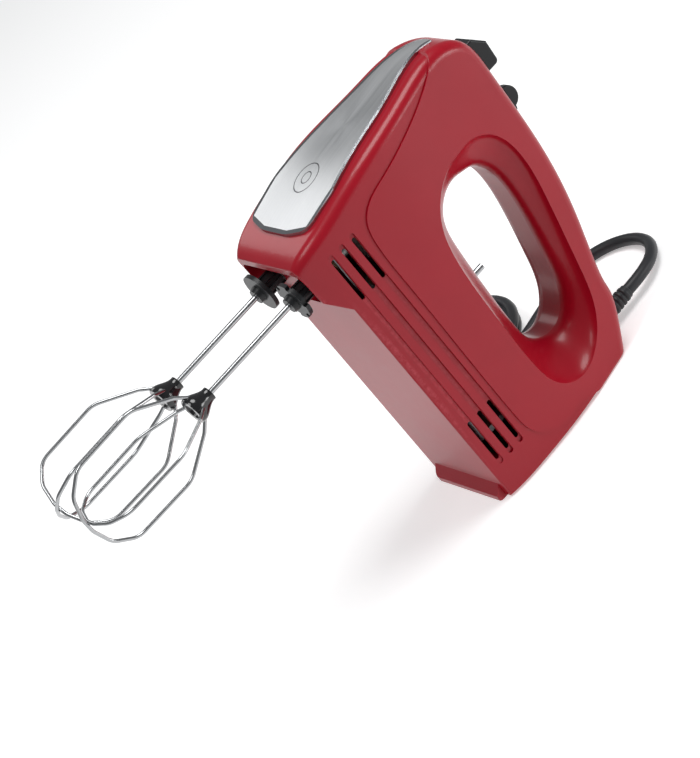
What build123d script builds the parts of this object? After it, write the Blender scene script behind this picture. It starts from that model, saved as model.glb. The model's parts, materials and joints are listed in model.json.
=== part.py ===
from build123d import *
import math
import os

os.makedirs("parts", exist_ok=True)

# Hand mixer, standing on its heel. All sizes in mm.
# +Z runs up to the nose, +X runs from the beaters to the back of the handle, and -Y is
# the user's left hand side. The origin is the foot of the motor's axis, on the flat
# heel face that the mixer stands on.

# ---- housing ----
body_height = 195.0         # heel to the crown of the front plate
belly_depth = 33.0          # motor axis to the belly, the side that the beaters leave
back_depth = 111.0          # motor axis to the back of the handle
body_half_width = 39.0      # centre plane to the side, at its widest
belly_half_width = 37.5     # the same at the belly
handle_half_width = 17.0    # the same at the back of the handle
nose_overhang = 9.0         # lip round the sockets, ahead of the belly
shoulder_radius = 7.0
ridge_radius = 2.0
wall = 2.4                  # moulded shell
panel_step = 0.9            # side panels stand this much above the vent bands
throat_half_depth = 8.0     # the finger opening's narrow middle
flank_depth = 37.0          # centre plane to the opening's rim, 50 from the belly
flank_slope = 0.236         # the rim nears the centre plane towards the handle
foot_half_width = 31.0
foot_height = 9.0
foot_length = 63.0          # the pad that the mixer stands on, from the belly back
foot_flare = 3.5

# ---- front plate ----
plate_thickness = 1.4
plate_half_width = 31.0
plate_fit = 0.15            # round the plate in its recess
plate_proud = 0.5

# ---- vents ----
channel_count = 3
channel_pitch = 7.6
channel_width = 3.2
channel_depth = 1.0
slot_length = 27.0
vent_low = 22.0
vent_high = 166.0

# ---- drive ----
spindle_spacing = 35.0      # between the two beater axes
spindle_z = 157.0           # beater axes above the heel
spindle_radius = 5.0
socket_radius = 3.6         # bore that takes a beater's shank
socket_length = 42.0
ejector_bore = 2.4
worm_pitch_radius = 4.5
gear_module = 1.0
wheel_width = 6.0
shaft_radius = 2.5
running_fit = 0.05          # radial clearance of a shaft in its bush
piece_gap = 0.3             # between neighbours that don't carry each other
screw_radius = 1.5
boss_radius = 3.4

# ---- beaters ----
shank_clearance = 0.05
flange_radius = 11.0
flange_thickness = 2.4
flange_depth = 15.0         # belly to the flange, along the beater
stem_radius = 1.6
hub_depth = 77.0            # belly to the hub's small end
hub_length = 13.0
cage_radius = 25.0
cage_end = 166.5            # belly to the tip of the cage
wire_radius = 1.0

# ---- controls ----
eject_travel = 4.0
switch_travel = 7.0
button_fit = 0.3

# ---- mains lead ----
cord_radius = 3.4
relief_length = 26.0
relief_z = 8.5
coil_mean_radius = 34.0
coil_centre = (38.0, 92.0)

# ---- worked out from those above ----
belly_x = -belly_depth
back_x = back_depth
half_spacing = spindle_spacing / 2
wheel_pitch_radius = half_spacing - worm_pitch_radius
wheel_teeth = round(2 * wheel_pitch_radius / gear_module)
shank_radius = socket_radius - shank_clearance
flange_x = belly_x - flange_depth
hub_x = belly_x - hub_depth


def save(name, builder):
    """Label a finished piece and write it as one STEP file."""
    builder.part.label = name
    export_step(builder.part, f"parts/{name}.step")
    count = len(builder.part.solids())
    print(f"{name:22s} solids {count:2d}  volume {builder.part.volume:10.1f}")


def grown(points, amount):
    """The outline's points moved outwards from its centre by the amount."""
    middle = (sum(p[0] for p in points) / len(points), sum(p[1] for p in points) / len(points))
    moved = []
    for h, z in points:
        away = Vector(h - middle[0], z - middle[1])
        moved.append((h + away.normalized().X * amount, z + away.normalized().Y * amount))
    return moved


# ================= housing =================
# Points are (depth from the belly, height above the heel).
rim_outline = [
    (95, 149), (79, 146), (65, 134), (58, 112), (55.5, 78), (55, 45), (59.5, 25), (72, 16),
    (88, 18), (101.5, 29), (112, 56), (121, 92), (125, 118), (119.5, 139), (108, 147.5),
]
throat_outline = [
    (97, 133), (86, 132.5), (76.5, 125), (72, 108), (70, 78), (69.5, 50), (73, 37), (82, 32),
    (92, 34), (100, 43), (106, 63), (111.5, 92), (113, 112), (110, 125), (104, 131),
]
crease_outline = [
    (137, 214), (114, 191), (80, 180), (53, 175.5), (42, 173), (34, 167), (30.5, 156), (29.5, 130),
    (29, 32), (30, 22), (35, 13), (44, 8), (60, 7),
]


def body_form(inset):
    """The outside of the body moved in by the inset: side view and end view, with rounded edges."""
    b = belly_x + inset
    k = back_x - inset
    top = body_height - inset
    with BuildPart() as form:
        with BuildSketch(Plane.XZ):
            with BuildLine():
                front = Polyline((b, inset), (b, 138), (b - nose_overhang, 151), (b - nose_overhang - 1, top - 20))
                crown = Spline(
                    front @ 1, (b + 10, top - 12), (b + 50, top - 4), (b + 92, top - 0.3), (k - 14, top - 2),
                    (k - 3.5, top - 10), (k, top - 34), (k - 3.5, 110), (k - 12.5, 70), (k - 24, 34),
                    (k - 33, 11 + inset), tangents=[(1, 0.95), (-0.55, -0.85)],
                )
                Polyline(crown @ 1, (k - 42, inset), (b, inset))
            make_face()
        extrude(amount=2 * body_half_width, both=True)
        with BuildSketch(Plane.XY.offset(-1)):
            with BuildLine():
                side = Spline(
                    (belly_x - 12, 30.5 - inset), (belly_x, belly_half_width - 0.8 - inset),
                    (belly_x + 30, body_half_width - inset), (belly_x + 62, body_half_width - 3 - inset),
                    (belly_x + 100, 27 - inset), (back_x - 12, handle_half_width + 2.5 - inset),
                    (back_x + 3, handle_half_width - 2 - inset),
                )
                Polyline(side @ 0, (belly_x - 12, 0), (back_x + 3, 0), side @ 1)
            make_face()
            mirror(about=Plane.XZ)
        extrude(amount=top + 20, mode=Mode.INTERSECT)
        off_centre = [e for e in form.edges() if abs(e.center().Y) > 8]
        fillet([e for e in off_centre if e.length > 250], radius=shoulder_radius - inset)
        if 0 <= inset < ridge_radius:
            sides = [e for e in form.edges() if abs(e.center().Y) > 20]
            ridges = [e for e in sides if e.center().X < b + 1]
            heel = [e for e in sides if e.center().Z < inset + 0.1 and e.length > 40]
            fillet(ridges + heel, radius=ridge_radius - inset)
    return form


def ring_plane(side, y, slope):
    """A plane facing -Y at depth 50 from the belly, turned so that it nears the centre by the slope."""
    return Plane(
        origin=(belly_x + 50, side * y, 0), x_dir=(1, -side * slope, 0), z_dir=(-side * slope, -1, 0),
    )


def opening_form(growth):
    """The finger opening: a throat, with a hollow flank on each side that ends at the rim."""
    throat = grown(throat_outline, growth)
    rim = grown(rim_outline, growth)
    flank = [(0.35 * r[0] + 0.65 * t[0], 0.35 * r[1] + 0.65 * t[1]) for r, t in zip(rim, throat)]
    mouth = grown(rim, 1.2)
    rings = (
        (mouth, flank_depth + 9, flank_slope), (rim, flank_depth, flank_slope),
        (flank, 0.6 * flank_depth, 0.45 * flank_slope), (throat, throat_half_depth, 0),
    )
    with BuildPart() as form:
        for side in (1, -1):
            for points, y, slope in rings:
                stretch = math.hypot(1, slope)
                with BuildSketch(ring_plane(side, y, slope)):
                    with BuildLine():
                        Spline(*[((h - 50) * stretch, z) for h, z in points], periodic=True)
                    make_face()
            loft()
        with BuildSketch(Plane.XZ):
            with BuildLine():
                Spline(*[(belly_x + h, z) for h, z in throat], periodic=True)
            make_face()
        extrude(amount=throat_half_depth + 0.5, both=True)
    return form


def plate_prism(growth):
    """The front plate's outline, seen from the front, as a tall prism."""
    half = plate_half_width + growth
    corners = [
        (133 + growth, 5.6 + growth, 5.2), (82, 20.6 + growth, 90), (34, half, 40), (10, half - 1.5, 9 + growth),
        (5.5 - growth, 12, 30),
    ]
    with BuildPart() as prism:
        with BuildSketch(Plane.XY.offset(body_height)) as outline:
            right = [(belly_x + h, y) for h, y, bend in corners]
            Polygon(*right, *[(x, -y) for x, y in reversed(right)], align=None)
            for h, y, bend in corners:
                at_corner = [v for v in outline.vertices() if math.hypot(v.X - belly_x - h, abs(v.Y) - y) < 0.1]
                fillet(at_corner, radius=bend)
        extrude(amount=45, both=True)
    return prism


outer = body_form(0)
stepped = body_form(panel_step)
cavity = body_form(wall)
opening = opening_form(0)
print("forms made")

with BuildPart() as panels:
    with BuildSketch(Plane.XZ):
        with BuildLine():
            edge = Spline(*[(belly_x + h, z) for h, z in crease_outline])
            Polyline(
                edge @ 1, (belly_x + 80, -1), (back_x + 20, -5), (back_x + 20, body_height + 20), edge @ 0,
            )
        make_face()
    extrude(amount=2 * body_half_width, both=True)
    add(outer.part, mode=Mode.INTERSECT)

with BuildPart() as heel_foot:
    with BuildSketch(Plane.XZ):
        Polygon(
            (belly_x - foot_flare, 0), (belly_x + foot_length, 0), (belly_x + foot_length, wall - 0.6),
            (belly_x + 18, wall - 0.6), (belly_x + 18, foot_height), (belly_x + 1, foot_height),
            (belly_x - foot_flare, 3), align=None,
        )
    extrude(amount=foot_half_width, both=True)
    fillet(heel_foot.edges().filter_by(Axis.Z).group_by(Axis.X)[0], radius=2)

# The pocket under the nose, behind its lip, with the two spindle sockets in its floor.
pocket_depth = 8.0
pocket_low = spindle_z - 12
pocket_high = spindle_z + 13
pocket_half_width = 31.0
pocket_floor = belly_x - nose_overhang + pocket_depth


def nose_pocket(growth):
    height = pocket_high - pocket_low
    with BuildPart() as pocket:
        with BuildSketch(Plane.YZ.offset(pocket_floor + growth)):
            with Locations((0, (pocket_low + pocket_high) / 2)):
                RectangleRounded(2 * (pocket_half_width + growth), height + 2 * growth, 6 + growth)
        extrude(amount=-40)
    return pocket


# Screw bosses stand on both shells and meet at the seam: (depth from the belly, height).
boss_places = [(9, 17), (62, 181), (104, 22), (106, 158)]


def boss_pins(radius, start, end):
    """Round bars along Y at the boss places."""
    with BuildPart() as pins:
        with BuildSketch(Plane.XZ.offset(-start)):
            with Locations(*[(belly_x + h, z) for h, z in boss_places]):
                Circle(radius)
        extrude(amount=start - end)
    return pins


with BuildPart() as hollow:
    add(cavity.part)
    add(opening_form(wall).part, mode=Mode.SUBTRACT)
    add(nose_pocket(wall).part, mode=Mode.SUBTRACT)
    add(boss_pins(boss_radius, -60, 60).part, mode=Mode.SUBTRACT)
print("hollow made")

with BuildPart() as skin:
    add(stepped.part)
    with Locations((belly_x + 150, 0, 30)):
        Box(100, 100, 60, mode=Mode.SUBTRACT)
    add(panels.part)
    add(heel_foot.part)
    add(opening.part, mode=Mode.SUBTRACT)
print("skin made", skin.part.is_valid)

# Vent channels down both sides, with a slot through the wall at each end.
channel_places = [belly_x + 8 + i * channel_pitch for i in range(channel_count)]
with BuildPart() as vents:
    for s in (1, -1):
        with BuildSketch(Plane.XZ.offset(-s * (body_half_width - panel_step - channel_depth))):
            for x in channel_places:
                with Locations((x, (vent_low + vent_high) / 2)):
                    SlotOverall(vent_high - vent_low + 6, channel_width, rotation=90)
        extrude(amount=-s * 8)
        with BuildSketch(Plane.XZ.offset(-s * (body_half_width - 2 * wall - 3))):
            for x in channel_places:
                for z in (vent_low + slot_length / 2, vent_high - slot_length / 2):
                    with Locations((x, z)):
                        SlotOverall(slot_length, channel_width - 0.6, rotation=90)
        extrude(amount=-s * 14)

# Recess that the steel plate lies in.
with BuildPart() as plate_recess:
    add(plate_prism(plate_fit).part)
    add(body_form(plate_thickness - plate_proud).part, mode=Mode.SUBTRACT)

switch_z = 138.0
button_z = 168.0
with BuildPart() as openings_cut:
    with BuildSketch(Plane.YZ.offset(back_x - 14)):
        with Locations((0, switch_z)):
            SlotOverall(26, 9, rotation=90)
        with Locations((0, button_z)):
            RectangleRounded(15 + 2 * button_fit, 20 + 2 * button_fit, 0.6)
    extrude(amount=30)
    with BuildSketch(Plane.YZ.offset(pocket_floor - 2)):
        with Locations((-half_spacing, spindle_z), (half_spacing, spindle_z)):
            Circle(spindle_radius + 2 * piece_gap)
    extrude(amount=wall + 6)
    with BuildSketch(Plane.YZ.offset(back_x - 52)):
        with Locations((0, relief_z)):
            Circle(5.6)
    extrude(amount=60)

with BuildPart() as shell:
    add(skin.part)
    add(hollow.part, mode=Mode.SUBTRACT)
    add(nose_pocket(0).part, mode=Mode.SUBTRACT)
    add(vents.part, mode=Mode.SUBTRACT)
    add(plate_recess.part, mode=Mode.SUBTRACT)
    add(openings_cut.part, mode=Mode.SUBTRACT)
print("shell made", shell.part.is_valid, len(shell.part.solids()))

with BuildPart() as housing_left:
    add(shell.part)
    with Locations((0, -100, 100)):
        Box(500, 200, 400, mode=Mode.INTERSECT)
    add(boss_pins(screw_radius - 0.2, -16, 0).part, mode=Mode.SUBTRACT)
save("housing_left", housing_left)

with BuildPart() as housing_right:
    add(shell.part)
    with Locations((0, 100, 100)):
        Box(500, 200, 400, mode=Mode.INTERSECT)
    add(boss_pins(screw_radius + 0.2, 0, 60).part, mode=Mode.SUBTRACT)
    add(boss_pins(boss_radius - 0.6, 9, 60).part, mode=Mode.SUBTRACT)
save("housing_right", housing_right)


# ================= front plate with its ring mark =================
mark_x = belly_x + 37
mark_depth = 0.25
with BuildPart() as front_plate:
    add(body_form(-plate_proud).part)
    add(plate_prism(0).part, mode=Mode.INTERSECT)
    add(body_form(plate_thickness - plate_proud - 0.02).part, mode=Mode.SUBTRACT)
    with BuildSketch(Plane.XY.offset(body_height - 20)):
        with Locations((mark_x, 0)):
            Circle(7.2)
            Circle(6.6, mode=Mode.SUBTRACT)
            Circle(2.9)
            Circle(2.3, mode=Mode.SUBTRACT)
    extrude(amount=20 - 8.0 - mark_depth, mode=Mode.SUBTRACT)
save("front_plate", front_plate)

# ================= screws, driven in from the right =================
with BuildPart() as housing_screws:
    with BuildSketch(Plane.XZ.offset(-9)):
        with Locations(*[(belly_x + h, z) for h, z in boss_places]):
            Circle(boss_radius - 1.0)
    extrude(amount=-2.2)
    with BuildSketch(Plane.XZ.offset(-9)):
        with Locations(*[(belly_x + h, z) for h, z in boss_places]):
            Circle(screw_radius - 0.2)
    extrude(amount=24)
save("housing_screws", housing_screws)

# ================= motor, on the Z axis =================
stator_low = 56.0
stator_high = 86.0
stator_half = 23.0
stator_bore = 15.0
core_radius = 14.3
winding_radius = 12.4
slot_count = 12
bush_radius = 6.0
bush_length = 6.0
bush_places = (28.0, 118.5, 170.5)      # lower end of each motor bush
coil_y = (13.4, 17.0)

with BuildPart() as motor_stator:
    with BuildSketch(Plane.XY.offset(stator_low)):
        RectangleRounded(2 * stator_half, 2 * stator_half + 6, 8)
        with Locations((0, 13.2), (0, -13.2)):
            Rectangle(36.4, 8.4, mode=Mode.SUBTRACT)
        Circle(stator_bore, mode=Mode.SUBTRACT)
    extrude(amount=stator_high - stator_low)
save("motor_stator", motor_stator)

coil_height = stator_high - stator_low + 10
with BuildPart() as field_coils:
    for s in (1, -1):
        with BuildSketch(Plane.XZ.offset(-s * coil_y[0])):
            with Locations((0, (stator_low + stator_high) / 2)):
                RectangleRounded(35.6, coil_height, 2)
                Rectangle(31.4, coil_height - 8.4, mode=Mode.SUBTRACT)
        extrude(amount=-s * (coil_y[1] - coil_y[0]))
save("field_coils", field_coils)

with BuildPart() as armature_core:
    with BuildSketch(Plane.XY.offset(stator_low + 1)):
        Circle(core_radius)
        with PolarLocations(core_radius - 1.6, slot_count):
            Rectangle(4.4, 1.8, mode=Mode.SUBTRACT)
        Circle(shaft_radius, mode=Mode.SUBTRACT)
    extrude(amount=stator_high - stator_low - 2)
save("armature_core", armature_core)

with BuildPart() as armature_winding:
    for z, height in ((stator_low - 4, 5), (stator_high - 1, 5)):
        with BuildSketch(Plane.XY.offset(z)):
            Circle(winding_radius)
            Circle(shaft_radius, mode=Mode.SUBTRACT)
        extrude(amount=height)
    with BuildSketch(Plane.XY.offset(stator_low - 1)):
        with PolarLocations(12.2, slot_count):
            Rectangle(2.4, 1.6)
    extrude(amount=stator_high - stator_low + 2)
save("armature_winding", armature_winding)

commutator_low = 38.0
commutator_high = 49.0
commutator_radius = 8.5
with BuildPart() as commutator:
    with BuildSketch(Plane.XY.offset(commutator_low)):
        Circle(commutator_radius)
        with PolarLocations(commutator_radius, 2 * slot_count):
            Rectangle(1.4, 0.4, mode=Mode.SUBTRACT)
        Circle(shaft_radius, mode=Mode.SUBTRACT)
    extrude(amount=commutator_high - commutator_low)
save("commutator", commutator)

brush_z = (commutator_low + commutator_high) / 2
brush_size = (5.0, 8.0)
with BuildPart() as carbon_brushes:
    for s in (1, -1):
        with BuildSketch(Plane.XZ.offset(-s * (commutator_radius + 0.15))):
            with Locations((0, brush_z)):
                Rectangle(*brush_size)
        extrude(amount=-s * 13)
save("carbon_brushes", carbon_brushes)

with BuildPart() as brush_holders:
    for s in (1, -1):
        with BuildSketch(Plane.XZ.offset(-s * (commutator_radius + 2))):
            with Locations((0, brush_z)):
                Rectangle(brush_size[0] + 3, brush_size[1] + 3)
                Rectangle(brush_size[0] + 0.1, brush_size[1] + 0.1, mode=Mode.SUBTRACT)
        extrude(amount=-s * 14)
        with BuildSketch(Plane.XY.offset(31.0)):
            with Locations((0, s * 20)):
                Rectangle(6, 6)
        extrude(amount=brush_z - brush_size[1] / 2 - 1.5 - 31.0)
save("brush_holders", brush_holders)

worm_root = 3.4
worm_tip = 5.4
lead = math.pi * gear_module
thread_turns = 7.5
worm_shoulder = 1.3         # plain root beyond each end of the thread
# The thread faces the left wheel square on, half way up that wheel.
thread_low = spindle_z - 3.75 * lead
with BuildPart() as motor_shaft:
    with BuildSketch(Plane.XY.offset(27)):
        Circle(shaft_radius)
    extrude(amount=151)
    with BuildSketch(Plane.XY.offset(thread_low - worm_shoulder)):
        Circle(worm_root)
    extrude(amount=thread_turns * lead + 2 * worm_shoulder)
    with BuildLine():
        helix = Helix(pitch=lead, height=thread_turns * lead, radius=worm_root, center=(0, 0, thread_low))
    with BuildSketch(Plane(origin=helix @ 0, x_dir=(1, 0, 0), z_dir=helix % 0)):
        Polygon((-0.4, -0.75), (worm_tip - worm_root, -0.2), (worm_tip - worm_root, 0.2), (-0.4, 0.75), align=None)
    sweep(path=helix, is_frenet=True)
save("motor_shaft", motor_shaft)

fan_low = 97.0
fan_radius = 21.0
with BuildPart() as cooling_fan:
    with BuildSketch(Plane.XY.offset(fan_low)):
        Circle(fan_radius)
        Circle(shaft_radius, mode=Mode.SUBTRACT)
    extrude(amount=1.4)
    with BuildSketch(Plane.XY.offset(fan_low)):
        Circle(6)
        Circle(shaft_radius, mode=Mode.SUBTRACT)
    extrude(amount=8)
    with BuildSketch(Plane.XY.offset(fan_low + 1)):
        with PolarLocations(13.5, 11):
            Rectangle(13, 1.1, rotation=18)
    extrude(amount=7)
save("cooling_fan", cooling_fan)


def bush_ring(outer_radius, inner_radius):
    Circle(outer_radius)
    Circle(inner_radius, mode=Mode.SUBTRACT)


with BuildPart() as motor_bearings:
    for z in bush_places:
        with BuildSketch(Plane.XY.offset(z)):
            bush_ring(bush_radius, shaft_radius + running_fit)
        extrude(amount=bush_length)
save("motor_bearings", motor_bearings)

post_places = [(x, y) for x in (-19.0, 19.0) for y in (-21.5, 21.5)]
with BuildPart() as motor_frame:
    with BuildSketch(Plane.XY.offset(28.0)):
        RectangleRounded(46, 50, 5)
        Circle(bush_radius, mode=Mode.SUBTRACT)
    extrude(amount=3)
    with BuildSketch(Plane.XY.offset(28.0)):
        with Locations(*post_places):
            Circle(3)
    extrude(amount=stator_low - 28.0)
save("motor_frame", motor_frame)

# ================= gear frame and the pair of worm wheels =================
cheek_x = (19.0, 4.0)       # centre and thickness of each cheek
deck_z = 120.0
bridge_z = 172.0
cheek_top = 176.0
spindle_bush_radius = 6.6
with BuildPart() as gear_frame:
    with BuildSketch(Plane.XY.offset(deck_z)):
        RectangleRounded(2 * cheek_x[0] + cheek_x[1], 52, 2)
        Circle(bush_radius, mode=Mode.SUBTRACT)
    extrude(amount=3)
    with BuildSketch(Plane.XY.offset(stator_high)):
        with Locations(*post_places):
            Circle(3)
    extrude(amount=deck_z + 1 - stator_high)
    for s in (1, -1):
        with BuildSketch(Plane.YZ.offset(s * cheek_x[0] - cheek_x[1] / 2)):
            with Locations((0, (deck_z + 1 + cheek_top) / 2)):
                RectangleRounded(51, cheek_top - deck_z - 1, 4)
            with Locations((-half_spacing, spindle_z), (half_spacing, spindle_z)):
                Circle(spindle_bush_radius, mode=Mode.SUBTRACT)
        extrude(amount=cheek_x[1])
    with BuildSketch(Plane.XY.offset(bridge_z)):
        Rectangle(2 * cheek_x[0] - 1, 14)
        Circle(bush_radius, mode=Mode.SUBTRACT)
    extrude(amount=3)
save("gear_frame", gear_frame)

with BuildPart() as spindle_bushes:
    for x in (-cheek_x[0] - 2.5, cheek_x[0] - 2.5):
        with BuildSketch(Plane.YZ.offset(x)):
            for y in (-half_spacing, half_spacing):
                with Locations((y, spindle_z)):
                    Circle(spindle_bush_radius)
                with Locations((y, spindle_z)):
                    Circle(spindle_radius + running_fit, mode=Mode.SUBTRACT)
        extrude(amount=5)
save("spindle_bushes", spindle_bushes)

wheel_root = wheel_pitch_radius - 1.3 * gear_module
wheel_tip = wheel_pitch_radius + 0.9 * gear_module


def worm_wheel(y, first_tooth):
    """A worm wheel on its spindle; the first tooth stands at this angle from +Y."""
    with BuildPart() as wheel:
        with BuildSketch(Plane(origin=(-wheel_width / 2, y, spindle_z), x_dir=(0, 1, 0), z_dir=(1, 0, 0))):
            Circle(wheel_root)
            for i in range(wheel_teeth):
                angle = first_tooth + i * 360 / wheel_teeth
                with Locations(Location((0, 0, 0), (0, 0, angle))):
                    Polygon(
                        (wheel_root - 0.5, -0.8), (wheel_tip, -0.28), (wheel_tip, 0.28), (wheel_root - 0.5, 0.8),
                        align=None,
                    )
            Circle(spindle_radius, mode=Mode.SUBTRACT)
        extrude(amount=wheel_width)
    return wheel


def spindle(y):
    """A hollow spindle: the beater's socket from the front, the ejector's bore from behind."""
    start = pocket_floor - 0.2
    with BuildPart() as tube:
        with BuildSketch(Plane(origin=(start, y, spindle_z), x_dir=(0, 1, 0), z_dir=(1, 0, 0))):
            Circle(spindle_radius)
        extrude(amount=cheek_x[0] + 5 - start)
        with BuildSketch(Plane(origin=(start, y, spindle_z), x_dir=(0, 1, 0), z_dir=(1, 0, 0))):
            Circle(socket_radius)
        extrude(amount=socket_length, mode=Mode.SUBTRACT)
        with BuildSketch(Plane(origin=(start, y, spindle_z), x_dir=(0, 1, 0), z_dir=(1, 0, 0))):
            Circle(ejector_bore)
        extrude(amount=100, mode=Mode.SUBTRACT)
    return tube


# The thread meets a tooth space on the left wheel and a tooth's middle line on the right.
half_tooth = 180 / wheel_teeth
save("worm_wheel_left", worm_wheel(-half_spacing, half_tooth))
save("worm_wheel_right", worm_wheel(half_spacing, 180))
save("spindle_left", spindle(-half_spacing))
save("spindle_right", spindle(half_spacing))

# ================= beaters =================
socket_end = pocket_floor - 0.2 + socket_length
shank_end = socket_end - 0.5


def shank(y, notches):
    """Black shank: the part in the socket, a ribbed collar and a flange, bored for the stem."""
    with BuildPart() as piece:
        with BuildSketch(Plane(origin=(flange_x, y, spindle_z), x_dir=(0, 1, 0), z_dir=(1, 0, 0))):
            Circle(flange_radius)
            if notches:
                with PolarLocations(flange_radius, notches):
                    Rectangle(4.4, 3.4, mode=Mode.SUBTRACT)
        extrude(amount=flange_thickness)
        with BuildSketch(Plane(origin=(flange_x, y, spindle_z), x_dir=(0, 1, 0), z_dir=(1, 0, 0))):
            Circle(spindle_radius)
            with PolarLocations(spindle_radius, 8):
                Rectangle(1.6, 1.2)
        extrude(amount=pocket_floor - 0.7 - flange_x)
        with BuildSketch(Plane(origin=(flange_x, y, spindle_z), x_dir=(0, 1, 0), z_dir=(1, 0, 0))):
            Circle(shank_radius)
        extrude(amount=shank_end - flange_x)
        chamfer(piece.edges().group_by(Axis.X)[-1], length=1)
        with BuildSketch(Plane(origin=(flange_x - 3, y, spindle_z), x_dir=(0, 1, 0), z_dir=(1, 0, 0))):
            Circle(stem_radius + 2.6)
        extrude(amount=3.2, taper=-12)
        with BuildSketch(Plane(origin=(flange_x - 4, y, spindle_z), x_dir=(0, 1, 0), z_dir=(1, 0, 0))):
            Circle(stem_radius)
        extrude(amount=16, mode=Mode.SUBTRACT)
    return piece


def stem(y):
    """Steel rod from the shank down to the hub."""
    with BuildPart() as piece:
        with BuildSketch(Plane(origin=(hub_x - 6, y, spindle_z), x_dir=(0, 1, 0), z_dir=(1, 0, 0))):
            Circle(stem_radius)
        extrude(amount=flange_x + 12 - hub_x + 6)
    return piece


def hub(y):
    """Bell that holds the ends of the wires, widening towards the cage."""
    with BuildPart() as piece:
        with BuildSketch(Plane(origin=(0, y, spindle_z), x_dir=(1, 0, 0), z_dir=(0, -1, 0))):
            with BuildLine():
                outside = Spline(
                    (hub_x, 3.9), (hub_x - 5, 5.2), (hub_x - hub_length + 2.5, 7.6), (hub_x - hub_length, 7.3),
                )
                Polyline(
                    outside @ 1, (hub_x - hub_length, 4.6), (hub_x - hub_length + 3, 3.6),
                    (hub_x - hub_length + 3, 0), (hub_x - 6, 0), (hub_x - 6, stem_radius), (hub_x, stem_radius),
                    outside @ 0,
                )
            make_face()
        revolve(axis=Axis((0, y, spindle_z), (1, 0, 0)))
    return piece


def wire_loop(y, angle, end):
    """One bent wire: out of the hub, round the cage, across the tip and back, in a plane through the axis."""
    start = hub_x - hub_length + 5
    plane = Plane(origin=(0, y, spindle_z), x_dir=(1, 0, 0), z_dir=(0, -math.cos(angle), -math.sin(angle)))
    near_side = [
        (start, 5.2), (start - 7.5, 12.6), (start - 28, cage_radius), (start - 66, cage_radius - 0.6),
        (belly_x - end + 3.5, 15.5), (belly_x - end, 4.0),
    ]
    far_side = [(x, -r) for x, r in reversed(near_side)]
    bends = [2.5, 14, 12, 10, 10, 10, 10, 12, 14, 2.5]
    with BuildPart() as piece:
        with BuildLine(plane) as route:
            FilletPolyline(*near_side, *far_side, radius=bends)
        with BuildSketch(Plane(origin=route.line @ 0, z_dir=route.line % 0)):
            Circle(wire_radius)
        sweep()
    return piece


for side, y, first_angle, notches in (("left", -half_spacing, 0, 6), ("right", half_spacing, 45, 0)):
    save(f"beater_{side}_shank", shank(y, notches))
    save(f"beater_{side}_stem", stem(y))
    save(f"beater_{side}_hub", hub(y))
    for loop, turn, shorter in (("outer", 0, 0), ("inner", 90, 2 * wire_radius + 0.1)):
        angle = math.radians(first_angle + turn)
        save(f"beater_{side}_{loop}_wire", wire_loop(y, angle, cage_end - wire_radius - shorter))

# ================= controls =================
yoke_x = 31.5
prong_end = shank_end + eject_travel + 0.3
flange_in = back_x - 12
with BuildPart() as eject_button:
    with BuildSketch(Plane.XZ) as cap:
        with Locations((0, button_z)):
            Polygon(
                (flange_in, -10), (back_x + 9.5, -10), (back_x + 10.5, 3), (back_x + 4, 10), (flange_in, 10),
                align=None,
            )
        outer_corners = cap.vertices().filter_by(lambda v: v.X > back_x)
        fillet(outer_corners.sort_by(Axis.Y)[0], radius=2.5)
        fillet(outer_corners.sort_by(Axis.Y)[1:], radius=7)
    extrude(amount=7.5, both=True)
    outer_edges = eject_button.edges().filter_by(lambda e: e.center().X > back_x - 5 and abs(e.center().Y) > 7)
    fillet(outer_edges, radius=1.2)
    with BuildSketch(Plane.YZ.offset(flange_in)):
        with Locations((0, button_z)):
            Rectangle(18, 23)
    extrude(amount=-1.6)
save("eject_button", eject_button)

with BuildPart() as eject_yoke:
    with BuildSketch(Plane.YZ.offset(yoke_x)):
        with Locations((0, button_z)):
            Rectangle(8, 4)
    extrude(amount=flange_in - 1.6 - yoke_x)
    with BuildSketch(Plane.YZ.offset(yoke_x - 1.5)):
        with Locations((0, (spindle_z - 4 + button_z + 2) / 2)):
            Rectangle(spindle_spacing + 8, button_z + 2 - spindle_z + 4)
    extrude(amount=3)
    for y in (-half_spacing, half_spacing):
        with BuildSketch(Plane.YZ.offset(prong_end)):
            with Locations((y, spindle_z)):
                Circle(ejector_bore - 0.2)
        extrude(amount=yoke_x - prong_end)
save("eject_yoke", eject_yoke)

spring_start = cheek_x[0] + cheek_x[1] / 2 + 0.5
spring_end = yoke_x - 1.5 - 0.5
with BuildPart() as eject_spring:
    with BuildLine():
        coil = Helix(
            pitch=(spring_end - spring_start) / 4, height=spring_end - spring_start, radius=2.6,
            center=(spring_start, 0, button_z - 3), direction=(1, 0, 0),
        )
    with BuildSketch(Plane(origin=coil @ 0, z_dir=coil % 0)):
        Circle(0.4)
    sweep(path=coil, is_frenet=True)
save("eject_spring", eject_spring)

frame_thickness = 1.2
frame_length = 33.0
with BuildPart() as switch_frame:
    with BuildSketch(Plane.YZ.offset(back_x - 10)):
        with Locations((0, switch_z)):
            SlotOverall(frame_length, 15, rotation=90)
            SlotOverall(25, 8.6, rotation=90, mode=Mode.SUBTRACT)
    extrude(amount=30)
    add(body_form(-frame_thickness).part, mode=Mode.INTERSECT)
    add(body_form(-0.02).part, mode=Mode.SUBTRACT)
save("switch_frame", switch_frame)

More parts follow.
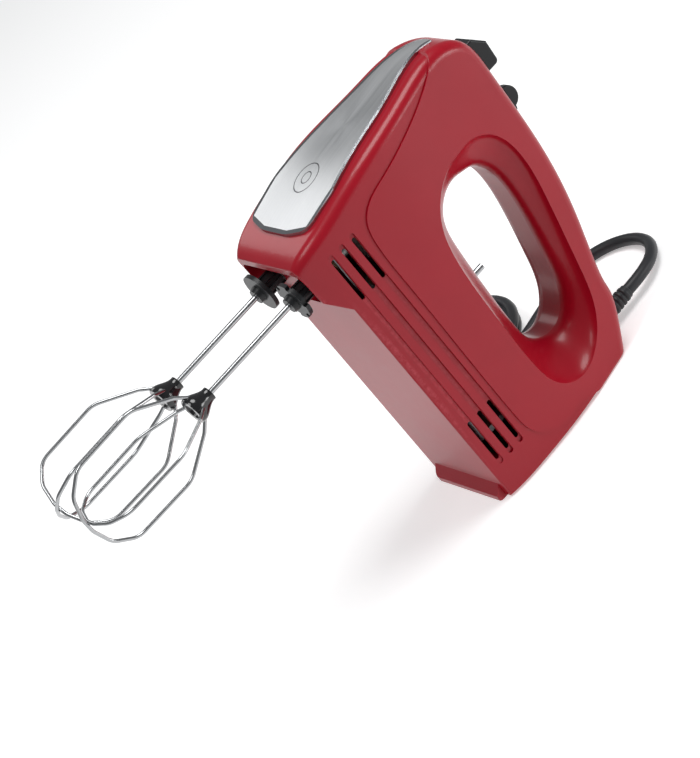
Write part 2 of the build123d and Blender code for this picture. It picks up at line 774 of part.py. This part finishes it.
fin_radius = 6.6
carriage_x = back_x + frame_thickness + piece_gap
with BuildPart() as speed_switch:
    with BuildSketch(Plane.XZ):
        with Locations((carriage_x + 1.2, switch_z)):
            Circle(fin_radius)
        with Locations((carriage_x - 10, switch_z)):
            Rectangle(20, 30, mode=Mode.SUBTRACT)
    extrude(amount=2.6, both=True)
    fillet(speed_switch.edges().filter_by(GeomType.CIRCLE), radius=0.8)
    with BuildSketch(Plane.YZ.offset(carriage_x)):
        with Locations((0, switch_z)):
            SlotOverall(18, 10.5, rotation=90)
    extrude(amount=1.3)
    with BuildSketch(Plane.YZ.offset(back_x - 9)):
        with Locations((0, switch_z)):
            Rectangle(5.4, 8)
    extrude(amount=carriage_x + 0.5 - back_x + 9)
save("speed_switch", speed_switch)

with BuildPart() as switch_block:
    with BuildSketch(Plane.YZ.offset(back_x - 22)):
        with Locations((0, switch_z)):
            Rectangle(16, 28)
    extrude(amount=16)
    with BuildSketch(Plane.YZ.offset(back_x - 11)):
        with Locations((0, switch_z)):
            Rectangle(6.4, 8 + 2 * switch_travel + 1)
    extrude(amount=20, mode=Mode.SUBTRACT)
save("switch_block", switch_block)

with BuildPart() as speed_board:
    with BuildSketch(Plane.XY.offset(8)):
        Rectangle(40, 46)
    extrude(amount=1.6)
    with BuildSketch(Plane.XY.offset(9)):
        with Locations((-10, 12)):
            Circle(5)
        with Locations((8, 12)):
            Rectangle(12, 10)
        with Locations((8, -10)):
            Rectangle(10, 16)
        with Locations((-10, -10)):
            Rectangle(7, 12)
    extrude(amount=9)
save("speed_board", speed_board)

# ================= mains lead =================
relief_x = back_x - 36
relief_end = relief_x + relief_length
with BuildPart() as strain_relief:
    with BuildSketch(Plane.YZ.offset(relief_x - 6)):
        with Locations((0, relief_z)):
            Circle(5.3)
    with BuildSketch(Plane.YZ.offset(relief_x + 2)):
        with Locations((0, relief_z)):
            Circle(5.3)
    loft()
    with BuildSketch(Plane.YZ.offset(relief_x + 2)):
        with Locations((0, relief_z)):
            Circle(5.3)
    with BuildSketch(Plane.YZ.offset(relief_end)):
        with Locations((0, relief_z)):
            Circle(4.1)
    loft()
save("strain_relief", strain_relief)


def arc_radii(points):
    """The arc at each inner point: 0.45 of its shorter run over the tangent of half its turn."""
    radii = []
    for before, here, after in zip(points, points[1:], points[2:]):
        run_in = Vector(*here) - Vector(*before)
        run_out = Vector(*after) - Vector(*here)
        turn = math.radians(run_in.get_angle(run_out))
        radii.append(0.45 * min(run_in.length, run_out.length) / math.tan(turn / 2))
    return radii


# The lead leaves its relief level, comes down to the surface, turns back past the heel
# and runs in behind the mixer, where its spare length is coiled.
coil_entry = coil_centre[1] - coil_mean_radius - cord_radius
cord_route = [
    (relief_end, 0, relief_z), (relief_end + 13, 0, relief_z), (129.0, 8.6, 6.8), (138.6, 24.6, 4.6),
    (138.6, 42.6, 3.6), (129.6, 58.2, 3.5), (114, 67.2, 3.5), (96, 67.2, 3.5), (78, 62.2, 3.5), (59, 56.4, 3.7),
    (coil_centre[0], coil_entry, 4.0),
]
cord_radii = arc_radii(cord_route)
print("cord arc radii", [round(r) for r in cord_radii])
with BuildPart() as cord:
    with BuildLine() as cord_line:
        FilletPolyline(*cord_route, radius=cord_radii)
    with BuildSketch(Plane(origin=cord_line.line @ 0, z_dir=cord_line.line % 0)):
        Circle(cord_radius)
    sweep()
save("cord", cord)
section = math.pi * cord_radius**2
tube_length = sum(edge.length for edge in cord_line.edges())
print("cord tube length", round(tube_length), "from volume", round(cord.part.volume / section))

tie_thickness = 0.55
coil_low = tie_thickness + 0.05
coil_middle = coil_low + 2 * cord_radius


def coil_ring(growth):
    """The coil's outer shape, two turns wide and two high."""
    with BuildPart() as ring:
        with BuildSketch(Plane.XZ):
            with Locations((coil_mean_radius, coil_middle)):
                RectangleRounded(4 * cord_radius + 2 * growth, 4 * cord_radius + 2 * growth, 0.8 * cord_radius)
        revolve(axis=Axis.Z)
    return ring


with BuildPart() as cord_coil:
    with Locations((coil_centre[0], coil_centre[1], 0)):
        add(coil_ring(0).part)
save("cord_coil", cord_coil)

tie_half = 2 * cord_radius + tie_thickness
with BuildPart() as coil_tie:
    with Locations((coil_centre[0] - coil_mean_radius, coil_centre[1], coil_middle)):
        Box(2 * tie_half, 6, 2 * tie_half)
    with Locations((coil_centre[0], coil_centre[1], 0)):
        add(coil_ring(0.05).part, mode=Mode.SUBTRACT)
save("coil_tie", coil_tie)

plug_width = 35.0
plug_thickness = 13.6
plug_length = 34.0
plug_relief = 15.0
pin_radius = 2.0
pin_length = 19.0
pin_spacing = 18.6
plug_start = (coil_centre[0] - 18, coil_centre[1] + coil_mean_radius)
plug_z = coil_low + 4 * cord_radius + plug_thickness / 2 + 0.05
with BuildPart() as plug_body:
    with BuildSketch(Plane.YZ.offset(plug_start[0])):
        with Locations((plug_start[1], plug_z)):
            Circle(cord_radius + 0.8)
    with BuildSketch(Plane.YZ.offset(plug_start[0] + plug_relief)):
        with Locations((plug_start[1], plug_z)):
            Circle(cord_radius + 2.2)
    loft()
    with BuildSketch(Plane.XY.offset(plug_z - plug_thickness / 2)):
        with Locations((plug_start[0] + plug_relief, plug_start[1])):
            Polygon(
                (0, -8), (10, -plug_width / 2), (plug_length, -plug_width / 2), (plug_length, plug_width / 2),
                (10, plug_width / 2), (0, 8), align=None,
            )
    extrude(amount=plug_thickness)
    flat_edges = plug_body.edges().filter_by(lambda e: e.center().X > plug_start[0] + plug_relief + 1)
    fillet(flat_edges.filter_by(Axis.Z), radius=3)
save("plug_body", plug_body)

pin_start = plug_start[0] + plug_relief + plug_length
with BuildPart() as plug_pins:
    with BuildSketch(Plane.YZ.offset(pin_start)):
        for s in (1, -1):
            with Locations((plug_start[1] + s * pin_spacing / 2, plug_z)):
                Circle(pin_radius)
    extrude(amount=pin_length)
save("plug_pins", plug_pins)
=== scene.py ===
import json
import math

import bmesh
import bpy
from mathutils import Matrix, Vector


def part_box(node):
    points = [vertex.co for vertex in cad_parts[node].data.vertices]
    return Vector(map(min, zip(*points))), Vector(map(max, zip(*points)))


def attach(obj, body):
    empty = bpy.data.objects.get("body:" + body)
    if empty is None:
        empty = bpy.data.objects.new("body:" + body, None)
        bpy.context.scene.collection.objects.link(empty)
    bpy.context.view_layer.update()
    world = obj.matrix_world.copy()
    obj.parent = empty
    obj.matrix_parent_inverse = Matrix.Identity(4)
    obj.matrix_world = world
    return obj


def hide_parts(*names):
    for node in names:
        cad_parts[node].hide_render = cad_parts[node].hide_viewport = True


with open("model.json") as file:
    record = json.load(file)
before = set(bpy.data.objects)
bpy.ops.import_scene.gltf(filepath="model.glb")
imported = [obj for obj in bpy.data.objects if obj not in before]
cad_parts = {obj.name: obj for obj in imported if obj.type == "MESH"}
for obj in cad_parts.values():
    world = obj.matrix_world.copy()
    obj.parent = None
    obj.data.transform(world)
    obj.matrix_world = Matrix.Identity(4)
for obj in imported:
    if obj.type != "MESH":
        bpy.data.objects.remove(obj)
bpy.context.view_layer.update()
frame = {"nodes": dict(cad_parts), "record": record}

# ---------------------------------------------------------------- camera
AZIMUTH = -16.1             # degrees, 0 looks along +Y
ELEVATION = 26.6
ROLL = 40.6
DISTANCE = 1.6
LENS = 150.6


def look(azimuth, elevation):
    """The camera's right, up and back directions for an azimuth and elevation in degrees."""
    a, e = math.radians(azimuth), math.radians(elevation)
    back = Vector((math.sin(a) * math.cos(e), -math.cos(a) * math.cos(e), math.sin(e)))
    right = Vector((0, 0, 1)).cross(back).normalized()
    return right, back.cross(right), back


def make_camera():
    aim = Vector((-0.0465, 0.0, 0.0959))
    right, up, back = look(AZIMUTH, ELEVATION)
    turn = math.radians(ROLL)
    camera_right = math.cos(turn) * right - math.sin(turn) * up
    camera_up = math.sin(turn) * right + math.cos(turn) * up
    data = bpy.data.cameras.new("camera")
    data.lens = LENS
    data.sensor_width = 36
    data.clip_end = 20
    camera = bpy.data.objects.new("camera", data)
    axes = (camera_right, camera_up, back)
    place = aim + back * DISTANCE
    for column, axis in enumerate(axes):
        for row in range(3):
            camera.matrix_world[row][column] = axis[row]
    camera.matrix_world.translation = place
    bpy.context.scene.collection.objects.link(camera)
    bpy.context.scene.camera = camera
    return camera_right, camera_up, back


image_right, image_up, image_back = make_camera()


# ---------------------------------------------------------------- shader groups
def new_group(name, inputs, outputs):
    group = bpy.data.node_groups.new(name, "ShaderNodeTree")
    for label, kind, value in inputs:
        socket = group.interface.new_socket(name=label, in_out="INPUT", socket_type=kind)
        socket.default_value = value
    for label, kind in outputs:
        group.interface.new_socket(name=label, in_out="OUTPUT", socket_type=kind)
    source = group.nodes.new("NodeGroupInput")
    sink = group.nodes.new("NodeGroupOutput")
    return group, source, sink


def math_node(tree, operation, first, second=None, clamp=False):
    node = tree.nodes.new("ShaderNodeMath")
    node.operation = operation
    node.use_clamp = clamp
    for index, value in enumerate((first, second)):
        if value is None:
            continue
        if isinstance(value, (int, float)):
            node.inputs[index].default_value = value
        else:
            tree.links.new(value, node.inputs[index])
    return node.outputs[0]


def noise_node(tree, vector, scale, detail=3.0, roughness=0.55):
    node = tree.nodes.new("ShaderNodeTexNoise")
    node.inputs["Detail"].default_value = detail
    node.inputs["Roughness"].default_value = roughness
    if isinstance(scale, (int, float)):
        node.inputs["Scale"].default_value = scale
    else:
        tree.links.new(scale, node.inputs["Scale"])
    tree.links.new(vector, node.inputs["Vector"])
    return node.outputs["Fac"]


def surface_grain():
    """Fine moulded grain with slow drift: a height, a roughness and a tone that wander."""
    group, source, sink = new_group(
        "surface_grain",
        [("Scale", "NodeSocketFloat", 900.0), ("Roughness", "NodeSocketFloat", 0.35),
         ("Spread", "NodeSocketFloat", 0.08)],
        [("Height", "NodeSocketFloat"), ("Roughness", "NodeSocketFloat"), ("Tone", "NodeSocketFloat")],
    )
    place = group.nodes.new("ShaderNodeTexCoord").outputs["Object"]
    fine = noise_node(group, place, source.outputs["Scale"], 2.0)
    slow = noise_node(group, place, 28.0, 4.0)
    smear = noise_node(group, place, 160.0, 5.0, 0.65)
    both = math_node(group, "ADD", slow, math_node(group, "MULTIPLY", smear, 0.5))
    drift = math_node(group, "MULTIPLY", math_node(group, "SUBTRACT", both, 0.75), source.outputs["Spread"])
    rough = math_node(group, "ADD", source.outputs["Roughness"], drift, True)
    group.links.new(fine, sink.inputs["Height"])
    group.links.new(rough, sink.inputs["Roughness"])
    group.links.new(slow, sink.inputs["Tone"])
    return group


def edge_wear_and_highlight():
    """Where edges stand out and hands wear them: 1 on a sharp outer edge, broken up by noise. It places
    rubbed wear, and on the red plastic a painted highlight along the rims.
    """
    group, source, sink = new_group(
        "edge_wear_and_highlight", [("Reach", "NodeSocketFloat", 0.06), ("Break", "NodeSocketFloat", 0.5)],
        [("Mask", "NodeSocketFloat")],
    )
    point = group.nodes.new("ShaderNodeNewGeometry").outputs["Pointiness"]
    place = group.nodes.new("ShaderNodeTexCoord").outputs["Object"]
    over = math_node(group, "SUBTRACT", point, 0.60)
    scaled = math_node(group, "DIVIDE", over, source.outputs["Reach"], True)
    broken = noise_node(group, place, 420.0, 4.0, 0.7)
    patch = math_node(group, "SUBTRACT", broken, math_node(group, "MULTIPLY", source.outputs["Break"], 0.7))
    patch = math_node(group, "MULTIPLY", patch, 2.2, True)
    group.links.new(math_node(group, "MULTIPLY", scaled, patch, True), sink.inputs["Mask"])
    return group


def drawn_lines():
    """Long hairlines left by brushing or drawing along one direction."""
    group, source, sink = new_group(
        "drawn_lines",
        [("Along", "NodeSocketVector", (6.0, 900.0, 900.0)), ("Roughness", "NodeSocketFloat", 0.3),
         ("Spread", "NodeSocketFloat", 0.2)],
        [("Height", "NodeSocketFloat"), ("Roughness", "NodeSocketFloat"), ("Tone", "NodeSocketFloat")],
    )
    place = group.nodes.new("ShaderNodeTexCoord").outputs["Object"]
    stretch = group.nodes.new("ShaderNodeVectorMath")
    stretch.operation = "MULTIPLY"
    group.links.new(place, stretch.inputs[0])
    group.links.new(source.outputs["Along"], stretch.inputs[1])
    lines = noise_node(group, stretch.outputs[0], 1.0, 6.0, 0.7)
    broad = noise_node(group, place, 20.0, 2.0)
    rough = math_node(group, "ADD", source.outputs["Roughness"], math_node(
        group, "MULTIPLY", math_node(group, "SUBTRACT", lines, 0.5), source.outputs["Spread"]), True)
    group.links.new(lines, sink.inputs["Height"])
    group.links.new(rough, sink.inputs["Roughness"])
    broad = math_node(group, "MULTIPLY", broad, 0.3)
    tone = math_node(group, "ADD", math_node(group, "MULTIPLY", lines, 0.7), broad)
    group.links.new(tone, sink.inputs["Tone"])
    return group


GRAIN = surface_grain()
EDGE_WEAR_AND_HIGHLIGHT = edge_wear_and_highlight()
LINES = drawn_lines()


# ---------------------------------------------------------------- materials
def material(name):
    """An empty material with its Principled shader."""
    made = bpy.data.materials.new(name)
    made.use_nodes = True
    return made, made.node_tree, made.node_tree.nodes["Principled BSDF"]


def place_group(tree, group, **values):
    node = tree.nodes.new("ShaderNodeGroup")
    node.node_tree = group
    for label, value in values.items():
        node.inputs[label].default_value = value
    return node


def blend_colours(tree, factor, first, second):
    node = tree.nodes.new("ShaderNodeMix")
    node.data_type = "RGBA"
    tree.links.new(factor, node.inputs["Factor"])
    for label, value in (("A", first), ("B", second)):
        socket = [s for s in node.inputs if s.name == label and s.type == "RGBA"][0]
        if isinstance(value, tuple):
            socket.default_value = (*value, 1)
        else:
            tree.links.new(value, socket)
    return [s for s in node.outputs if s.type == "RGBA"][0]


def bump(tree, shader, height, strength, distance):
    node = tree.nodes.new("ShaderNodeBump")
    node.inputs["Strength"].default_value = strength
    node.inputs["Distance"].default_value = distance
    tree.links.new(height, node.inputs["Height"])
    tree.links.new(node.outputs["Normal"], shader.inputs["Normal"])


def moulded(name, dark, light, roughness, grain=900.0, depth=0.00002, coat=0.0, wear_and_highlight_colour=None, spread=0.08):
    """Moulded plastic or rubber: grain, slow tone drift and lighter sharp edges, which are rubbed wear and,
    on the red plastic, a painted highlight along the rims.
    """
    made, tree, shader = material(name)
    surface = place_group(tree, GRAIN, Scale=grain, Roughness=roughness, Spread=spread)
    colour = blend_colours(tree, surface.outputs["Tone"], dark, light)
    # sharp edges take a lighter colour: rubbed wear, and on the red plastic a painted highlight
    if wear_and_highlight_colour:
        wear_and_highlight_mask = place_group(tree, EDGE_WEAR_AND_HIGHLIGHT, Reach=0.08, Break=0.55)
        colour = blend_colours(tree, wear_and_highlight_mask.outputs["Mask"], colour, wear_and_highlight_colour)
    tree.links.new(colour, shader.inputs["Base Color"])
    tree.links.new(surface.outputs["Roughness"], shader.inputs["Roughness"])
    shader.inputs["Coat Weight"].default_value = coat
    shader.inputs["Coat Roughness"].default_value = 0.12
    shader.inputs["Specular IOR Level"].default_value = 0.3
    bump(tree, shader, surface.outputs["Height"], 0.35, depth)
    return made


def drawn_metal(name, dark, light, roughness, along, depth=0.00002, spread=0.2, anisotropy=0.0):
    """Bare metal with hairlines along one direction."""
    made, tree, shader = material(name)
    lines = place_group(tree, LINES, Along=along, Roughness=roughness, Spread=spread)
    tree.links.new(blend_colours(tree, lines.outputs["Tone"], dark, light), shader.inputs["Base Color"])
    tree.links.new(lines.outputs["Roughness"], shader.inputs["Roughness"])
    shader.inputs["Metallic"].default_value = 1.0
    shader.inputs["Anisotropic"].default_value = anisotropy
    bump(tree, shader, lines.outputs["Height"], 0.3, depth)
    return made


PLATE_OUTLINE = (           # half of the plate seen from above, (x, y)
    (0.100, 0.0056), (0.049, 0.0206), (0.001, 0.031), (-0.023, 0.0295), (-0.0275, 0.012), (-0.0275, 0),
)
BEVEL = 0.0024              # width of the polished edge
MARK_X = 0.004              # the ring mark's centre
MARK_RADII = (0.0086, 0.0034)
MARK_LINE = 0.0006


def outline_reach(tree):
    """How far a point is past the plate's outline, seen from above: 0 on the edge, less than 0 inside it."""
    place = tree.nodes.new("ShaderNodeSeparateXYZ")
    tree.links.new(tree.nodes.new("ShaderNodeTexCoord").outputs["Object"], place.inputs[0])
    side = math_node(tree, "ABSOLUTE", place.outputs["Y"])
    reach = None
    for (x0, y0), (x1, y1) in zip(PLATE_OUTLINE, PLATE_OUTLINE[1:]):
        length = math.hypot(x1 - x0, y1 - y0)
        across, along = (y1 - y0) / length, (x0 - x1) / length
        offset = across * x0 + along * y0
        here = math_node(tree, "ADD", math_node(tree, "MULTIPLY", place.outputs["X"], across),
                         math_node(tree, "MULTIPLY", side, along))
        here = math_node(tree, "SUBTRACT", here, offset)
        reach = here if reach is None else math_node(tree, "MAXIMUM", reach, here)
    return reach


def ring_mark(tree):
    """1 on the two plain rings engraved in the plate, 0 elsewhere."""
    offset = tree.nodes.new("ShaderNodeVectorMath")
    offset.operation = "MULTIPLY_ADD"
    tree.links.new(tree.nodes.new("ShaderNodeTexCoord").outputs["Object"], offset.inputs[0])
    offset.inputs[1].default_value = (1, 1, 0)
    offset.inputs[2].default_value = (-MARK_X, 0, 0)
    span = tree.nodes.new("ShaderNodeVectorMath")
    span.operation = "LENGTH"
    tree.links.new(offset.outputs[0], span.inputs[0])
    rings = []
    for radius in MARK_RADII:
        away = math_node(tree, "ABSOLUTE", math_node(tree, "SUBTRACT", span.outputs["Value"], radius))
        rings.append(math_node(tree, "LESS_THAN", away, MARK_LINE / 2))
    return math_node(tree, "MAXIMUM", *rings)


def brushed_plate():
    """Brushed steel face inside a polished bevel; the bevel is painted a darker grey as painted shade."""
    made, tree, shader = material("brushed plate")
    lines = place_group(tree, LINES, Along=(9.0, 1500.0, 40.0), Roughness=0.36, Spread=0.3)
    reach = outline_reach(tree)
    slope = math_node(tree, "DIVIDE", math_node(tree, "ADD", reach, BEVEL), BEVEL, True)
    edge = math_node(tree, "GREATER_THAN", slope, 0.02)
    face = blend_colours(tree, lines.outputs["Tone"], (0.55, 0.56, 0.57), (0.92, 0.93, 0.94))
    mark = ring_mark(tree)
    face = blend_colours(tree, mark, face, (0.10, 0.10, 0.11))
    # the bevel band gets a darker grey as painted shade; its lower roughness below is the real polish
    tree.links.new(blend_colours(tree, edge, face, (0.42, 0.43, 0.45)), shader.inputs["Base Color"])
    polish = math_node(tree, "SUBTRACT", 1.0, math_node(tree, "MULTIPLY", edge, 0.6))
    rough = math_node(tree, "MULTIPLY", lines.outputs["Roughness"], polish, True)
    tree.links.new(rough, shader.inputs["Roughness"])
    shader.inputs["Metallic"].default_value = 1.0
    shader.inputs["Anisotropic"].default_value = 0.5
    fine = math_node(tree, "MULTIPLY", lines.outputs["Height"], 0.012)
    engraved = math_node(tree, "MULTIPLY", mark, 0.3)
    height = math_node(tree, "SUBTRACT", math_node(tree, "SUBTRACT", fine, engraved), slope)
    bump(tree, shader, height, 1.0, 0.0012)
    return made


FINISHES = {
    # red plastic: its pale pink edge colour is a painted highlight along the rims, partly rubbed wear
    "red_plastic": moulded("signal red plastic", (0.30, 0.001, 0.010), (0.37, 0.002, 0.014), 0.32,
                           grain=1400.0, depth=0.000012, coat=0.15, wear_and_highlight_colour=(0.66, 0.10, 0.13), spread=0.06),
    "brushed_plate": brushed_plate(),
    "black_plastic": moulded("black satin plastic", (0.010, 0.011, 0.012), (0.020, 0.021, 0.023), 0.34,
                             grain=1100.0, depth=0.00002, wear_and_highlight_colour=(0.07, 0.07, 0.075)),
    "gloss_black": moulded("black gloss plastic", (0.006, 0.006, 0.007), (0.012, 0.012, 0.013), 0.14,
                           grain=700.0, depth=0.000008, coat=0.6, spread=0.05),
    "polished_steel": drawn_metal("polished steel", (0.34, 0.345, 0.35), (0.52, 0.53, 0.54), 0.20,
                                  (30.0, 1200.0, 1200.0), depth=0.00001, spread=0.14),
    "cord_rubber": moulded("lead rubber", (0.018, 0.019, 0.021), (0.034, 0.036, 0.040), 0.42,
                           grain=1600.0, depth=0.00003, spread=0.12),
    "zinc_steel": drawn_metal("plain steel", (0.42, 0.42, 0.41), (0.62, 0.62, 0.60), 0.36,
                              (60.0, 60.0, 700.0)),
    "copper": drawn_metal("enamelled copper", (0.45, 0.16, 0.07), (0.78, 0.34, 0.17), 0.30,
                          (900.0, 900.0, 60.0)),
    "carbon": moulded("carbon", (0.02, 0.02, 0.02), (0.05, 0.05, 0.05), 0.7, grain=1800.0),
    "gear_plastic": moulded("natural acetal", (0.62, 0.60, 0.54), (0.80, 0.78, 0.72), 0.4, grain=900.0),
    "frame_cast": drawn_metal("die cast frame", (0.36, 0.37, 0.38), (0.56, 0.57, 0.58), 0.5,
                              (300.0, 300.0, 300.0)),
    "bronze": drawn_metal("sintered bronze", (0.36, 0.22, 0.10), (0.56, 0.38, 0.20), 0.45,
                          (700.0, 700.0, 700.0)),
    "board_green": moulded("lacquered board", (0.01, 0.09, 0.03), (0.03, 0.16, 0.06), 0.35, grain=500.0),
}


slot_of = {part["node"]: part["material_slot"] for part in frame["record"]["subparts"]}
for name, obj in frame["nodes"].items():
    obj.data.materials.clear()
    obj.data.materials.append(FINISHES[slot_of[name]])


# ---------------------------------------------------------------- mains lead
CORD_RADIUS = 0.0034
LEAD_POINTS = [
    (0.101, 0, 0.0085), (0.114, 0, 0.0085), (0.129, 0.0086, 0.0068), (0.1386, 0.0246, 0.0046),
    (0.1386, 0.0426, 0.0036), (0.1296, 0.0582, 0.0035), (0.114, 0.0672, 0.0035), (0.096, 0.0672, 0.0035),
    (0.078, 0.0622, 0.0035), (0.059, 0.0564, 0.0037),
]
coil_low, coil_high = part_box("cord_coil")
coil_middle = Vector([(a + b) / 2 for a, b in zip(coil_low, coil_high)])
coil_radius = (coil_high[0] - coil_low[0]) / 2 - 2 * CORD_RADIUS
STEPS = 12                  # points in each turn of the coil
RISE_RADIUS = 0.036         # of the half turn that climbs to the plug
LAYERS = ((1, 0), (-1, 0), (-1, 1), (1, 1))     # outer or inner turn, lower or upper layer


def coil_point(step):
    """One point of the coil: turns run outwards and inwards by turns and climb to the upper layer."""
    turn, part = divmod(step, STEPS)
    here = LAYERS[min(turn, 3)]
    after = LAYERS[min(turn + 1, 3)]
    ease = max(0.0, (part - STEPS + 3) / 3)
    side = here[0] + (after[0] - here[0]) * ease
    layer = here[1] + (after[1] - here[1]) * ease
    angle = math.radians(-90 - 360 * step / STEPS)
    radius = coil_radius + side * CORD_RADIUS
    height = coil_low[2] + CORD_RADIUS * (1 + 2 * layer)
    return (coil_middle.x + radius * math.cos(angle), coil_middle.y + radius * math.sin(angle), height)


def lead_points():
    plug_low, plug_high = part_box("plug_body")
    plug_y = (plug_low[1] + plug_high[1]) / 2
    plug_z = (plug_low[2] + plug_high[2]) / 2
    points = LEAD_POINTS + [coil_point(step) for step in range(STEPS * len(LAYERS) + 1)]
    top = coil_high[2] + CORD_RADIUS
    for angle, rise in ((-118, -0.003), (-146, 0.0006), (-172, 0.001), (-198, 0.0022)):
        turn = math.radians(angle)
        x = coil_middle.x + RISE_RADIUS * math.cos(turn)
        points.append((x, coil_middle.y + RISE_RADIUS * math.sin(turn), top + rise))
    points.append((plug_low[0] - 0.0115, plug_y - 0.0035, plug_z - 0.0008))
    points.append((plug_low[0] - 0.003, plug_y - 0.0004, plug_z))
    points.append((plug_low[0] + 0.004, plug_y, plug_z))
    return points


def make_lead():
    curve = bpy.data.curves.new("mains_lead", "CURVE")
    curve.dimensions = "3D"
    curve.bevel_depth = CORD_RADIUS
    curve.bevel_resolution = 5
    curve.resolution_u = 10
    curve.use_fill_caps = True
    spline = curve.splines.new("NURBS")
    points = lead_points()
    spline.points.add(len(points) - 1)
    for point, place in zip(spline.points, points):
        point.co = (*place, 1)
    spline.order_u = 3
    spline.use_endpoint_u = True
    lead = bpy.data.objects.new("mains_lead", curve)
    bpy.context.scene.collection.objects.link(lead)
    curve.materials.append(FINISHES["cord_rubber"])
    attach(lead, "housing")
    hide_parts("cord", "cord_coil")


make_lead()


# ---------------------------------------------------------------- lead fittings
def new_piece(name, shape, finish, *nodes):
    """A finished mesh that stands in for CAD nodes of the housing."""
    mesh = bpy.data.meshes.new(name)
    shape.to_mesh(mesh)
    shape.free()
    made = bpy.data.objects.new(name, mesh)
    bpy.context.scene.collection.objects.link(made)
    mesh.materials.append(FINISHES[finish])
    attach(made, "housing")
    if nodes:
        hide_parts(*nodes)
    return made


def lathe(profile, middle, sides=48):
    """A round form along X: profile is (x, radius) from the closed start to the closed end."""
    shape = bmesh.new()
    rings = []
    for x, radius in profile:
        ring = []
        for side in range(sides):
            turn = 2 * math.pi * side / sides
            y = middle[0] + radius * math.cos(turn)
            ring.append(shape.verts.new((x, y, middle[1] + radius * math.sin(turn))))
        rings.append(ring)
    for before, after in zip(rings, rings[1:]):
        for side in range(sides):
            beyond = (side + 1) % sides
            shape.faces.new((before[side], before[beyond], after[beyond], after[side]))
    shape.faces.new(reversed(rings[0]))
    shape.faces.new(rings[-1])
    for face in shape.faces:
        face.smooth = True
    return shape


def make_relief():
    """The ribbed sleeve that keeps the lead from kinking where it leaves the heel."""
    low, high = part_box("strain_relief")
    height = (low[2] + high[2]) / 2
    start, end = low[0], high[0]
    profile = [(start, 0.0048), (start + 0.0006, 0.0053), (start + 0.009, 0.0053)]
    ribs = 7
    first = start + 0.0098
    pitch = (end - 0.002 - first) / ribs
    for rib in range(ribs):
        x = first + rib * pitch
        radius = 0.0053 - 0.0011 * rib / ribs
        groove = radius - 0.0006
        profile += [(x, groove), (x + 0.24 * pitch, groove)]
        profile += [(x + 0.36 * pitch, radius), (x + 0.88 * pitch, radius)]
    profile += [(end - 0.0019, 0.0040), (end - 0.0004, 0.0040), (end, 0.0037)]
    relief = new_piece("strain_relief_ribbed", lathe(profile, (0.0, height)), "cord_rubber", "strain_relief")
    relief.modifiers.new("soft edge", "BEVEL").width = 0.00015


make_relief()


# ---------------------------------------------------------------- studio
def studio():
    world = bpy.data.worlds.new("studio")
    world.use_nodes = True
    world.node_tree.nodes["Background"].inputs["Color"].default_value = (0.96, 0.98, 1, 1)
    world.node_tree.nodes["Background"].inputs["Strength"].default_value = 0.26
    bpy.context.scene.world = world
    sheet = bpy.data.meshes.new("floor")
    shape = bmesh.new()
    bmesh.ops.create_grid(shape, x_segments=2, y_segments=2, size=4)
    shape.to_mesh(sheet)
    shape.free()
    floor = bpy.data.objects.new("floor", sheet)
    bpy.context.scene.collection.objects.link(floor)
    paper, tree, shader = material("pale floor")
    shader.inputs["Base Color"].default_value = (0.93, 0.93, 0.93, 1)
    shader.inputs["Roughness"].default_value = 0.9
    shader.inputs["Emission Color"].default_value = (1, 1, 1, 1)
    shader.inputs["Emission Strength"].default_value = 0.36
    sheet.materials.append(paper)
    middle = Vector((0.0, 0.0, 0.09))
    lights = (
        ("key", 1.1 * image_up + 0.5 * image_back - 0.3 * image_right, 0.7, 9.0),
        ("fill", 0.8 * image_back - 1.0 * image_right + 0.5 * image_up, 0.6, 5.5),
        ("rim", 0.9 * image_right + 0.3 * image_back + 0.5 * image_up, 0.4, 3.0),
        ("card", Vector((-0.02, 0.94, 0.56)), 0.36, 0.7),
    )
    for name, offset, size, power in lights:
        data = bpy.data.lights.new(name, "AREA")
        data.shape = "DISK"
        data.size = size
        data.energy = power
        lamp = bpy.data.objects.new(name, data)
        lamp.location = middle + offset
        lamp.rotation_euler = offset.to_track_quat("Z", "Y").to_euler()
        bpy.context.scene.collection.objects.link(lamp)
    bpy.context.scene.view_settings.view_transform = "Standard"


studio()
